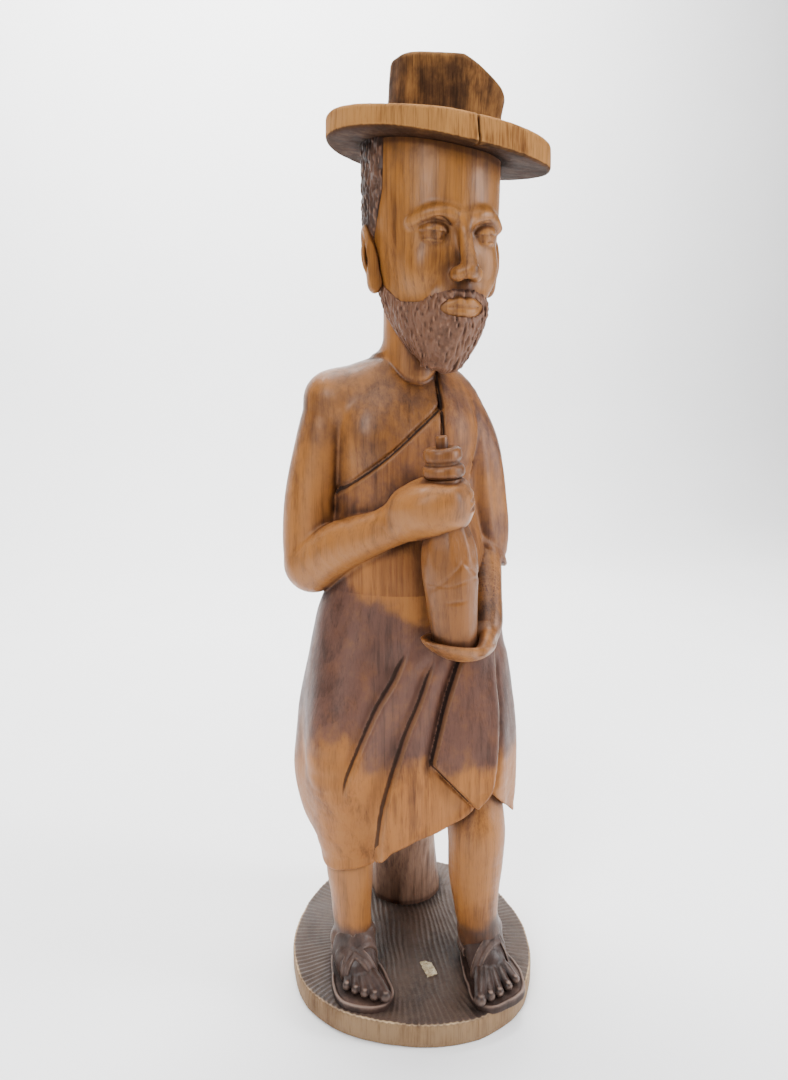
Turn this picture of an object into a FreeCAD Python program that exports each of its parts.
"""A carved wooden figure of a bearded man in a hat and a wrapped robe, holding a stoppered bottle.

The figure faces -Y, its right hand side is -X, and it stands on a round base whose underside is z = 0.
Every carved element is one solid of its own. Neighbours meet face to face where the carver's cut runs.
"""
import FreeCAD, Part
import os

import Sketcher

Vector = FreeCAD.Vector
Rotation = FreeCAD.Rotation
UP = Vector(0, 0, 1)

# Driving dimensions, in millimetres and degrees.
SIZES = {
    "base_half_width": 172, "base_half_depth": 185, "base_thick": 34,
    "stump_foot_radius": 54, "stump_top_radius": 47, "stump_top_level": 330,
    "stump_across": 27, "stump_back": 106, "stump_top_back": 72,
    "label_long": 30, "label_wide": 16, "label_thick": 0.5, "label_across": -3, "label_back": -98, "label_turn": 5,
    "sole_thick": 9, "ball_radius": 36, "heel_radius": 27, "sole_span": 62, "heel_back": 4,
    "right_foot_across": -96, "right_foot_back": -50, "right_foot_turn": 4,
    "left_foot_across": 76, "left_foot_back": -77, "left_foot_turn": -2,
    "strap_thick": 2.6, "strap_wide": 15,
    "cloth_thick": 3,
    "sash_turn": 40, "sash_across": -20, "sash_level": 734,
    "hem_rise_turn": 29, "hem_rise_level": 178,
    "bottle_across": 17, "bottle_back": -131, "bottle_level": 506, "bottle_lean": -4.4,
    "bottle_foot_radius": 27, "bottle_low_radius": 31, "bottle_wide_radius": 35, "bottle_neck_radius": 20,
    "bottle_low_level": 30, "bottle_wide_level": 92, "bottle_shoulder_level": 120, "bottle_neck_level": 150,
    "bottle_mouth_level": 200,
    "ring_radius": 24, "ring_thick": 14, "groove_radius": 19, "groove_thick": 5, "lip_radius": 21.5,
    "lip_thick": 13,
    "stopper_radius": 6.5, "stopper_tall": 17,
    "head_turn": 7,
    "ear_tall": 33, "ear_wide": 9, "ear_deep": 17, "ear_level": 958, "ear_back": -8,
    "right_ear_across": -59, "left_ear_across": 93,
    "hair_front": -48, "hair_tall": 178,
    "hat_across": 29, "hat_back": -12, "hat_level": 1077, "hat_lean": 8.6,
    "brim_radius": 133, "brim_thick": 28, "brim_round": 5,
    "crown_foot_radius": 67, "crown_top_radius": 73, "crown_tall": 68, "crown_forward": 8, "crown_round": 7,
    "crown_slope_turn": 38, "crown_slope_across": 52,
}

# Stacked oval sections: level, across (x), back (y), half width, half depth.
STACKS = {
    "torso": [(846, -8, 4, 38, 33), (836, -12, 4, 58, 42), (816, -16, 4, 84, 52), (788, -16, 3, 98, 60),
              (735, -14, 0, 98, 66),
              (690, -12, 0, 97, 70), (640, -8, -2, 98, 76), (590, -4, -4, 102, 80), (560, -3, -3, 106, 82)],
    "skirt": [(560, -3, -3, 109, 85), (520, -5, 0, 118, 91), (475, -7, 4, 128, 99), (405, -12, 6, 139, 111),
              (340, -13, 5, 146, 122), (298, -13, 3, 147, 124), (238, -12, 2, 140, 118),
              (178, -28, -6, 112, 95)],
    "drape": [(830, 38, 4, 14, 24), (817, 47, 4, 31, 36), (785, 55, 4, 39, 44), (745, 68, 2, 42, 47),
              (700, 80, -3, 43, 49), (650, 89, -9, 45, 50), (605, 92, -15, 44, 49), (572, 92, -19, 41, 47)],
    "neck": [(802, -4, -6, 38, 39), (830, -4, -8, 34, 34), (862, 0, -10, 35, 36), (905, 6, -12, 38, 42)],
    "head": [(846, 12, -58, 24, 25), (858, 12, -52, 34, 38), (885, 12, -43, 47, 55), (915, 13, -34, 57, 69),
             (945, 15, -27, 66, 80), (984, 17, -23, 73, 87), (1030, 17, -22, 76, 90), (1092, 18, -22, 77, 91)],
    "hair": [(926, 17, -22, 78, 93)],
    "beard": [(838, 12, -62, 28, 29), (858, 12, -54, 38, 41), (886, 12, -44, 51, 59), (916, 13, -35, 61, 73),
              (938, 14, -30, 67, 80)],
    "right_shin": [(72, -98, -52, 26, 29), (105, -98, -50, 26, 28), (150, -97, -46, 28, 31), (205, -97, -40, 33, 36)],
    "left_shin": [(72, 76, -80, 26, 29), (105, 74, -80, 28, 30), (150, 72, -78, 32, 34), (200, 72, -76, 37, 39),
                  (250, 76, -66, 40, 42), (330, 76, -46, 36, 38)],
}

# Limbs as rings along a line: across (x), back (y), level (z), radius.
LIMBS = {
    "right_upper_arm": [(-66, 4, 802, 27), (-98, 8, 788, 35), (-118, 13, 715, 37), (-128, 12, 632, 38),
                        (-129, 8, 594, 37)],
    "right_forearm": [(-128, 6, 590, 35), (-104, -36, 617, 32), (-74, -70, 640, 26), (-46, -94, 658, 24)],
    "left_forearm": [(96, -28, 592, 30), (83, -62, 572, 24), (69, -92, 547, 21), (57, -111, 527, 18)],
}

doc = FreeCAD.newDocument("carved_figure")
sheet = doc.addObject("Spreadsheet::Sheet", "Dimensions")
next_row = 1


def cell(alias, value):
    """Writes one plain number with its alias on the next row of the sheet."""
    global next_row
    sheet.set(f"A{next_row}", alias)
    sheet.set(f"B{next_row}", str(value))
    sheet.setAlias(f"B{next_row}", alias)
    next_row += 1


def size(alias):
    """The sheet's number under that alias."""
    return float(sheet.get(alias))


def bind(thing, **properties):
    """Binds properties to expressions. A name such as Placement_Base_x stands for Placement.Base.x."""
    for name, formula in properties.items():
        words = formula.split()
        text = " ".join(f"Dimensions.{w}" if w[0].isalpha() else w for w in words)
        thing.setExpression(name.replace("_", "."), text)


def place(thing, across, back, level, turn=None, axis=UP):
    """Puts a feature at a point given by expressions, turned about an axis."""
    thing.Placement = FreeCAD.Placement(Vector(), Rotation(axis, size(turn) if turn else 0))
    bind(thing, Placement_Base_x=across, Placement_Base_y=back, Placement_Base_z=level)
    if turn:
        bind(thing, Placement_Rotation_Angle=turn)
    return thing


def oval(name, number, turn=None, grow=None, label=""):
    """One horizontal section of a stack, grown all round by a cell's value where the cloth or hair lies on it."""
    stem = f"{name}_{{}}_{number}"
    ring = doc.addObject("Part::Ellipse", f"{label or name}_section_{number}")
    wide, deep = stem.format("wide"), stem.format("deep")
    long_side, short_side = (wide, deep) if size(f"{name}_wide_1") >= size(f"{name}_deep_1") else (deep, wide)
    more = f" + {grow}" if grow else ""
    bind(ring, MajorRadius=long_side + more, MinorRadius=short_side + more)
    angle = (0 if long_side == wide else 90) + (size(turn) if turn else 0)
    ring.Placement = FreeCAD.Placement(Vector(), Rotation(UP, angle))
    bind(ring, Placement_Base_x=stem.format("across"), Placement_Base_y=stem.format("back"),
         Placement_Base_z=stem.format("level"))
    return ring


def stack(name, label=None, turn=None, grow=None, only=None, ruled=False):
    """A solid through a stack of ovals, smooth unless it is ruled."""
    label = label or name
    numbers = only or range(1, len(STACKS[name]) + 1)
    loft = doc.addObject("Part::Loft", label)
    loft.Sections = [oval(name, number, turn, grow, label) for number in numbers]
    loft.Solid = True
    loft.Ruled = ruled
    return loft


def limb(name, label=None, grow=None):
    """A smooth solid through rings that stand square to the limb."""
    rings = []
    points = [Vector(*ring[:3]) for ring in LIMBS[name]]
    for i in range(len(points)):
        along = points[min(i + 1, len(points) - 1)] - points[max(i - 1, 0)]
        ring = doc.addObject("Part::Circle", f"{label or name}_ring_{i + 1}")
        ring.Placement = FreeCAD.Placement(Vector(), Rotation(UP, along))
        bind(ring, Radius=f"{name}_radius_{i + 1}" + (f" + {grow}" if grow else ""),
             Placement_Base_x=f"{name}_across_{i + 1}", Placement_Base_y=f"{name}_back_{i + 1}",
             Placement_Base_z=f"{name}_level_{i + 1}")
        rings.append(ring)
    loft = doc.addObject("Part::Loft", label or name)
    loft.Sections = rings
    loft.Solid = True
    return loft


def ball(label, centre, radii, turn=0.0, axis=UP):
    """An ellipsoid with half sizes along x, y and z."""
    egg = doc.addObject("Part::Ellipsoid", label)
    egg.Radius2, egg.Radius3, egg.Radius1 = radii
    egg.Placement = FreeCAD.Placement(Vector(*centre), Rotation(axis, turn))
    return egg


def block(label, corner, sides, turn=0.0, axis=UP, centre=Vector()):
    """A box used to trim other pieces. It turns about the given centre."""
    box = doc.addObject("Part::Box", label)
    box.Length, box.Width, box.Height = sides
    box.Placement = FreeCAD.Placement(Vector(*corner), Rotation(axis, turn), centre - Vector(*corner))
    return box


def cut(label, base, *tools):
    """base less each tool in turn."""
    for number, tool in enumerate(tools, 1):
        step = doc.addObject("Part::Cut", label if number == len(tools) else f"{label}_trim_{number}")
        step.Base, step.Tool = base, tool
        base = step
    return base


def common(label, first, second):
    """What two shapes share."""
    both = doc.addObject("Part::Common", label)
    both.Base, both.Tool = first, second
    return both


def fuse(label, *shapes):
    """Several shapes as one solid."""
    whole = doc.addObject("Part::MultiFuse", label)
    whole.Shapes = list(shapes)
    return whole


def body_sketch(body, plane, name):
    """A sketch on one of the body's own origin planes."""
    sketch = body.newObject("Sketcher::SketchObject", name)
    sketch.AttachmentSupport = [(next(f for f in body.Origin.OriginFeatures if f.Role == plane), "")]
    sketch.MapMode = "FlatFace"
    return sketch


def turned(label, outline):
    """A PartDesign body turned about its own Z from an outline of (radius, level) expressions."""
    body = doc.addObject("PartDesign::Body", label)
    sketch = body_sketch(body, "XZ_Plane", f"{label}_outline")
    value = {}
    for pair in outline:
        for formula in pair:
            value[formula] = sum(size(w) if w[0].isalpha() else float(w) for w in formula.split() if w != "+")
    corners = [Vector(value[radius], value[level], 0) for radius, level in outline]
    for i, corner in enumerate(corners):
        sketch.addGeometry(Part.LineSegment(corner, corners[(i + 1) % len(corners)]), False)
    for i in range(len(corners)):
        sketch.addConstraint(Sketcher.Constraint("Coincident", i, 2, (i + 1) % len(corners), 1))
    for i, (radius, level) in enumerate(outline):
        for kind, formula in (("DistanceX", radius), ("DistanceY", level)):
            number = sketch.addConstraint(Sketcher.Constraint(kind, -1, 1, i, 1, value[formula]))
            if formula != "0":
                name = f"{kind}{i}"
                sketch.renameConstraint(number, name)
                text = " ".join(f"Dimensions.{w}" if w[0].isalpha() else w for w in formula.split())
                sketch.setExpression(f"Constraints.{name}", text)
    spin = body.newObject("PartDesign::Revolution", f"{label}_turn")
    spin.Profile = sketch
    spin.ReferenceAxis = (sketch, ["V_Axis"])
    spin.Angle = 360
    return body


def sole(side):
    """A sandal sole: two arcs joined by tangents, padded."""
    body = doc.addObject("PartDesign::Body", f"{side}_sandal_sole")
    sketch = body_sketch(body, "XY_Plane", f"{side}_sole_outline")
    span, ball_radius, heel_radius = size("sole_span"), size("ball_radius"), size("heel_radius")
    lean = (ball_radius - heel_radius) / span
    slope = (1 - lean ** 2) ** 0.5
    front, rear = Vector(0, -span, 0), Vector(0, 0, 0)
    side_way = Vector(slope, -lean, 0)
    mirror_way = Vector(-slope, -lean, 0)
    front_ends = [front + way * ball_radius for way in (mirror_way, side_way)]
    rear_ends = [rear + way * heel_radius for way in (mirror_way, side_way)]
    sketch.addGeometry(Part.Arc(front_ends[0], front - Vector(0, ball_radius, 0), front_ends[1]), False)
    sketch.addGeometry(Part.Arc(rear_ends[1], rear + Vector(0, heel_radius, 0), rear_ends[0]), False)
    sketch.addGeometry(Part.LineSegment(front_ends[1], rear_ends[1]), False)
    sketch.addGeometry(Part.LineSegment(rear_ends[0], front_ends[0]), False)
    for first, end, second, start in ((0, 2, 2, 1), (2, 2, 1, 1), (1, 2, 3, 1), (3, 2, 0, 1)):
        sketch.addConstraint(Sketcher.Constraint("Tangent", first, end, second, start))
    sketch.addConstraint(Sketcher.Constraint("Coincident", 1, 3, -1, 1))
    sketch.addConstraint(Sketcher.Constraint("PointOnObject", 0, 3, -2))
    for kind, terms, alias in (("Radius", (0,), "ball_radius"), ("Radius", (1,), "heel_radius"),
                               ("DistanceY", (0, 3, 1, 3), "sole_span")):
        number = sketch.addConstraint(Sketcher.Constraint(kind, *terms, size(alias)))
        sketch.renameConstraint(number, alias)
        sketch.setExpression(f"Constraints.{alias}", f"Dimensions.{alias}")
    pad = body.newObject("PartDesign::Pad", f"{side}_sole_pad")
    pad.Profile = sketch
    bind(pad, Length="sole_thick")
    place(body, f"{side}_foot_across", f"{side}_foot_back + heel_back", "base_thick", f"{side}_foot_turn")
    return body


def foot(side, inner):
    """Heel, instep and ball as one loft with five toes. inner is the side of the big toe along x."""
    ankle = FreeCAD.Placement(Vector(size(f"{side}_foot_across"), size(f"{side}_foot_back"), size("base_thick")),
                              Rotation(UP, size(f"{side}_foot_turn")))
    flat = Rotation(Vector(1, 0, 0), 90)
    sections = [(28, 18, 15, 12), (19, 25, 23, 19), (2, 36, 26, 29), (-22, 31, 28, 24), (-44, 22, 32, 16),
                (-62, 16, 34, 10), (-72, 14, 33, 7)]

    def instep(label, grow):
        rings = []
        for number, (forward, level, half_width, half_height) in enumerate(sections, 1):
            ring = doc.addObject("Part::Ellipse", f"{label}_section_{number}")
            long_side, short_side = max(half_width, half_height), min(half_width, half_height)
            ring.MajorRadius, ring.MinorRadius = long_side + grow, short_side + grow
            upright = Rotation(UP, 90) if half_height > half_width else Rotation()
            ring.Placement = ankle.multiply(FreeCAD.Placement(Vector(0, forward, level), flat.multiply(upright)))
            rings.append(ring)
        loft = doc.addObject("Part::Loft", label)
        loft.Sections = rings
        loft.Solid = True
        return loft

    toes = []
    for number in range(5):
        share = number / 4
        radius = 9.5 - 3 * share
        centre = Vector(inner * (24 - 52 * share), -78 + 18 * share ** 1.5, 8 + radius)
        toes.append(ball(f"{side}_toe_{number + 1}", ankle.multVec(centre), (radius, 15 - 3 * share, radius),
                         size(f"{side}_foot_turn")))
    return fuse(f"{side}_foot_rough", instep(f"{side}_instep", 0), *toes), instep(f"{side}_strap_last",
                                                                                size("strap_thick"))


for alias, number in SIZES.items():
    cell(alias, number)
for name, rows in STACKS.items():
    for number, row in enumerate(rows, 1):
        for field, value in zip(("level", "across", "back", "wide", "deep"), row):
            cell(f"{name}_{field}_{number}", value)
for name, rows in LIMBS.items():
    for number, row in enumerate(rows, 1):
        for field, value in zip(("across", "back", "level", "radius"), row):
            cell(f"{name}_{field}_{number}", value)
doc.recompute()
nodes = []


def keep(feature, label):
    """Names a finished sub-part and lists it for export."""
    feature.Label = label
    nodes.append(feature)
    return feature


# ---- Base, stump and label -------------------------------------------------------------------------------
base = doc.addObject("PartDesign::Body", "base_disc")
base_sketch = body_sketch(base, "XY_Plane", "base_outline")
half_width, half_depth = size("base_half_width"), size("base_half_depth")
base_sketch.addGeometry(Part.Ellipse(Vector(0, half_depth, 0), Vector(half_width, 0, 0), Vector()), False)
base_sketch.exposeInternalGeometry(0)
base_sketch.addConstraint(Sketcher.Constraint("Coincident", 0, 3, -1, 1))
base_sketch.addConstraint(Sketcher.Constraint("Vertical", 1))
for name, line, alias in (("deep", 1, "base_half_depth"), ("wide", 2, "base_half_width")):
    number = base_sketch.addConstraint(Sketcher.Constraint("Distance", line, 2 * size(alias)))
    base_sketch.renameConstraint(number, name)
    base_sketch.setExpression(f"Constraints.{name}", f"2 * Dimensions.{alias}")
base_pad = base.newObject("PartDesign::Pad", "base_pad")
base_pad.Profile = base_sketch
bind(base_pad, Length="base_thick")
keep(base, "base_disc")

label_box = doc.addObject("Part::Box", "paper_label")
bind(label_box, Length="label_wide", Width="label_long", Height="label_thick")
place(label_box, "label_across", "label_back", "base_thick", "label_turn")
keep(label_box, "paper_label")

stump_rings = []
for name, radius, back, level in (("foot", "stump_foot_radius", "stump_back", "base_thick"),
                                  ("top", "stump_top_radius", "stump_top_back", "stump_top_level")):
    ring = doc.addObject("Part::RegularPolygon", f"stump_{name}_outline")
    ring.Polygon = 9
    bind(ring, Circumradius=radius)
    place(ring, "stump_across", back, level)
    stump_rings.append(ring)
stump_block = doc.addObject("Part::Loft", "stump_block")
stump_block.Sections = stump_rings
stump_block.Solid = True
stump_block.Ruled = True

# ---- Robe ------------------------------------------------------------------------------------------------
far = 400
hem_blade = block("hem_blade", (-2, -far, size("hem_rise_level") - far), (far, 2 * far, far),
                  -size("hem_rise_turn"), Vector(0, 1, 0), Vector(-2, 0, size("hem_rise_level")))
skirt_rough = stack("skirt", "skirt_rough")
skirt = keep(cut("robe_skirt", skirt_rough, hem_blade), "robe_skirt")

sash_point = Vector(size("sash_across"), 0, size("sash_level"))
sash_blade = block("sash_blade", (-far, -far, size("sash_level")), (2 * far, 2 * far, far),
                   -size("sash_turn"), Vector(0, 1, 0), sash_point)
torso = stack("torso", "torso_core")
chest_rough = common("chest_rough", torso, sash_blade)
wrap_rough = cut("wrap_rough", stack("torso", "torso_wrapped", grow="cloth_thick"), sash_blade)
neck_rough = stack("neck", "neck_rough")
neck_tool = stack("neck", "neck_tool")
chest = keep(cut("bare_chest", chest_rough, neck_tool), "bare_chest")
wrap = keep(cut("robe_wrap", wrap_rough, skirt), "robe_wrap")

drape_rough = stack("drape", "drape_rough")
drape = keep(cut("robe_shoulder_drape", drape_rough, chest, wrap, neck_tool), "robe_shoulder_drape")

overfold_last = stack("skirt", "overfold_last", grow="cloth_thick", only=range(2, 8))
overfold_patch = block("overfold_patch", (4, -far, 268), (66, far, 210), -12, Vector(0, 1, 0), Vector(30, 0, 370))
overfold_rough = common("overfold_rough", overfold_last, overfold_patch)
overfold = keep(cut("robe_overfold", overfold_rough, skirt, wrap), "robe_overfold")

# ---- Legs, feet and sandals ------------------------------------------------------------------------------
foot_shapes = {}
for side, inner in (("right", 1), ("left", -1)):
    base_sole = keep(sole(side), f"{side}_sandal_sole")
    rough, last = foot(side, inner)
    foot_shapes[side] = keep(cut(f"{side}_foot", rough, base_sole), f"{side}_foot")
    shin = stack(f"{side}_shin", f"{side}_shin_rough")
    leg = keep(cut(f"{side}_leg", shin, foot_shapes[side], skirt, overfold), f"{side}_leg")
    turn = size(f"{side}_foot_turn")
    centre = Vector(size(f"{side}_foot_across"), size(f"{side}_foot_back") - 38, 0)
    bands = [block(f"{side}_band_{number}", centre + Vector(-60, -size("strap_wide") / 2, 20),
                   (120, size("strap_wide"), 80), turn + slant, UP, centre)
             for number, slant in enumerate((34, -34), 1)]
    band = fuse(f"{side}_bands", *bands)
    strap = common(f"{side}_strap_rough", last, band)
    keep(cut(f"{side}_sandal_straps", strap, foot_shapes[side], leg, base_sole), f"{side}_sandal_straps")
stump = keep(cut("tree_stump", stump_block, skirt), "tree_stump")

# ---- Bottle ----------------------------------------------------------------------------------------------
mouth = "bottle_mouth_level"
bottle = turned("bottle_body", [
    ("0", "0"), ("bottle_foot_radius", "0"), ("bottle_low_radius", "bottle_low_level"),
    ("bottle_wide_radius", "bottle_wide_level"), ("bottle_wide_radius", "bottle_shoulder_level"),
    ("bottle_neck_radius", "bottle_neck_level"), ("bottle_neck_radius", mouth), ("0", mouth)])
ring_top = f"{mouth} + ring_thick"
groove_top = f"{ring_top} + groove_thick"
lip_top = f"{groove_top} + lip_thick"
collar = turned("bottle_collar", [
    ("0", mouth), ("ring_radius", mouth), ("ring_radius", ring_top), ("groove_radius", ring_top),
    ("groove_radius", groove_top), ("lip_radius", groove_top), ("lip_radius", lip_top), ("0", lip_top)])
stopper = turned("bottle_stopper", [
    ("0", lip_top), ("stopper_radius", lip_top), ("stopper_radius", f"{lip_top} + stopper_tall"),
    ("0", f"{lip_top} + stopper_tall")])
for piece, label in ((bottle, "bottle_body"), (collar, "bottle_collar"), (stopper, "bottle_stopper")):
    place(piece, "bottle_across", "bottle_back", "bottle_level", "bottle_lean", Vector(0, 1, 0))
    keep(piece, label)

# ---- Arms and hands --------------------------------------------------------------------------------------
upper_arm = keep(cut("right_upper_arm", limb("right_upper_arm", "upper_arm_rough"), chest, wrap, skirt),
                 "right_upper_arm")
palm = ball("right_palm", (-10, -128, 679), (47, 40, 38))
knuckles = [ball(f"right_finger_{number}", (22, -136, 692 - 14 * number), (17, 18, 8.5)) for number in range(4)]
grip = fuse("right_grip", palm, *knuckles)
right_hand = keep(cut("right_hand", grip, bottle, collar), "right_hand")
forearm_rough = limb("right_forearm", "right_forearm_rough")
right_forearm = keep(cut("right_forearm", forearm_rough, right_hand, upper_arm, wrap, chest, bottle),
                     "right_forearm")
cup = ball("left_palm", (24, -129, 503), (46, 40, 17))
thumb = ball("left_thumb", (62, -140, 521), (10, 22, 10), 25)
fingers = ball("left_fingers", (-14, -128, 514), (9, 30, 9))
left_hand = keep(cut("left_hand", fuse("left_cup", cup, thumb, fingers), bottle, wrap, skirt), "left_hand")
left_forearm_rough = limb("left_forearm", "left_forearm_rough")
left_forearm = keep(cut("left_forearm", left_forearm_rough, drape_rough, wrap, skirt_rough, cup), "left_forearm")

# ---- Hat -------------------------------------------------------------------------------------------------
brim = doc.addObject("Part::Cylinder", "brim_disc")
bind(brim, Radius="brim_radius", Height="brim_thick")
hat_lean_axis = Vector(0.67, 0.74, 0)
place(brim, "hat_across", "hat_back", "hat_level", "hat_lean", hat_lean_axis)
brim_edge = doc.addObject("Part::Fillet", "hat_brim")
brim_edge.Base = brim
doc.recompute()
rims = [i for i, edge in enumerate(brim.Shape.Edges, 1) if edge.Length > size("brim_radius")]
brim_edge.Edges = [(i, size("brim_round"), size("brim_round")) for i in rims]
hat_brim = keep(brim_edge, "hat_brim")

crown_lean = Rotation(hat_lean_axis, size("hat_lean"))
hat_place = FreeCAD.Placement(Vector(*map(size, ("hat_across", "hat_back", "hat_level"))), crown_lean)
crown_foot = hat_place.multVec(Vector(0, -size("crown_forward"), size("brim_thick")))
crown = doc.addObject("Part::Cone", "crown_block")
bind(crown, Radius1="crown_foot_radius", Radius2="crown_top_radius", Height="crown_tall")
crown.Placement = FreeCAD.Placement(crown_foot, crown_lean)
top_edge = doc.addObject("Part::Fillet", "crown_rounded")
top_edge.Base = crown
doc.recompute()
rims = [i for i, edge in enumerate(crown.Shape.Edges, 1) if edge.BoundBox.ZMin > crown_foot.z + size("crown_tall") / 2]
top_edge.Edges = [(i, size("crown_round"), size("crown_round")) for i in rims]
slope_point = crown_foot + crown_lean.multVec(Vector(size("crown_slope_across"), 0, size("crown_tall")))
slope_blade = block("crown_slope_blade", slope_point - Vector(0, far, 0), (far, 2 * far, far),
                    size("crown_slope_turn"), Vector(0, 1, 0), slope_point)
keep(cut("hat_crown", top_edge, slope_blade), "hat_crown")

# ---- Head ------------------------------------------------------------------------------------------------
head_centre = Vector(17, -23, 960)
head_yaw = Rotation(UP, size("head_turn"))


def on_head(across, back, level):
    """A point given in the head's own axes."""
    return head_centre + head_yaw.multVec(Vector(across, back, level) - head_centre)


skull = stack("head", "skull", "head_turn", ruled=True)
nose = ball("nose", on_head(15, -108, 948), (11, 16, 26), size("head_turn"))
brow = ball("brow", on_head(16, -96, 994), (44, 14, 9), size("head_turn"))
eyes = [ball(f"eye_{number}", on_head(x, -99, 976), (13, 8, 8), size("head_turn"))
        for number, x in enumerate((-12, 44), 1)]
lips = [ball(f"lip_{number}", on_head(13, -96 + number, 905 - 8 * number), (21, 12, 6), size("head_turn"))
        for number in (1, 2)]
face_rough = fuse("face_rough", skull, nose, brow, *eyes, *lips)
hair_last = doc.addObject("Part::Extrusion", "hair_last")
hair_last.Base = oval("hair", 1, "head_turn")
hair_last.Dir = UP
hair_last.Solid = True
bind(hair_last, LengthFwd="hair_tall")
hair_block = block("hair_block", (head_centre.x - far, size("hair_front"), 925), (2 * far, far, far),
                   size("head_turn"), UP, head_centre)
head = keep(cut("head", face_rough, hat_brim, hair_block), "head")
neck = keep(cut("neck", neck_rough, head, hair_block), "neck")

for side in ("right", "left"):
    egg = doc.addObject("Part::Ellipsoid", f"{side}_ear_rough")
    bind(egg, Radius1="ear_tall", Radius2="ear_wide", Radius3="ear_deep")
    place(egg, f"{side}_ear_across", "ear_back", "ear_level", "head_turn")
    keep(cut(f"{side}_ear", egg, hair_last), f"{side}_ear")

hat_blade = block("hat_blade", (-far, -far, 0), (2 * far, 2 * far, far))
hat_blade.Placement = hat_place.multiply(hat_blade.Placement)
keep(cut("hair", common("hair_back", hair_last, hair_block), hat_blade), "hair")

beard_last = stack("beard", "beard_last", "head_turn", ruled=True)
beard_block = block("beard_block", (head_centre.x - far, -far, 700), (2 * far, far - 30, 925 - 700),
                    size("head_turn"), UP, head_centre)
beard_side = common("beard_side", cut("beard_shell", beard_last, skull), beard_block)
tuft = ball("tuft_rough", on_head(12, -74, 862), (36, 27, 30), size("head_turn"))
beard_rough = fuse("beard_rough", beard_side, cut("beard_tuft", tuft, skull))
keep(cut("beard", beard_rough, *lips, neck_rough), "beard")

# ---- Checks and export -----------------------------------------------------------------------------------
doc.recompute()
for feature in doc.Objects:
    if "Invalid" in feature.State or "Error" in feature.State:
        raise RuntimeError(f"{feature.Label} did not compute: {feature.State}")
os.makedirs("parts", exist_ok=True)
for feature in nodes:
    shape = feature.Shape
    if shape.isNull() or not shape.isValid() or not shape.Solids:
        raise RuntimeError(f"{feature.Label} has no valid solid")
    if len(shape.Solids) > 1:
        print(feature.Label, "has", len(shape.Solids), "solids", [round(s.Volume) for s in shape.Solids])
    shape.exportStep(f"parts/{feature.Label}.step")
print(len(nodes), "sub-parts written")
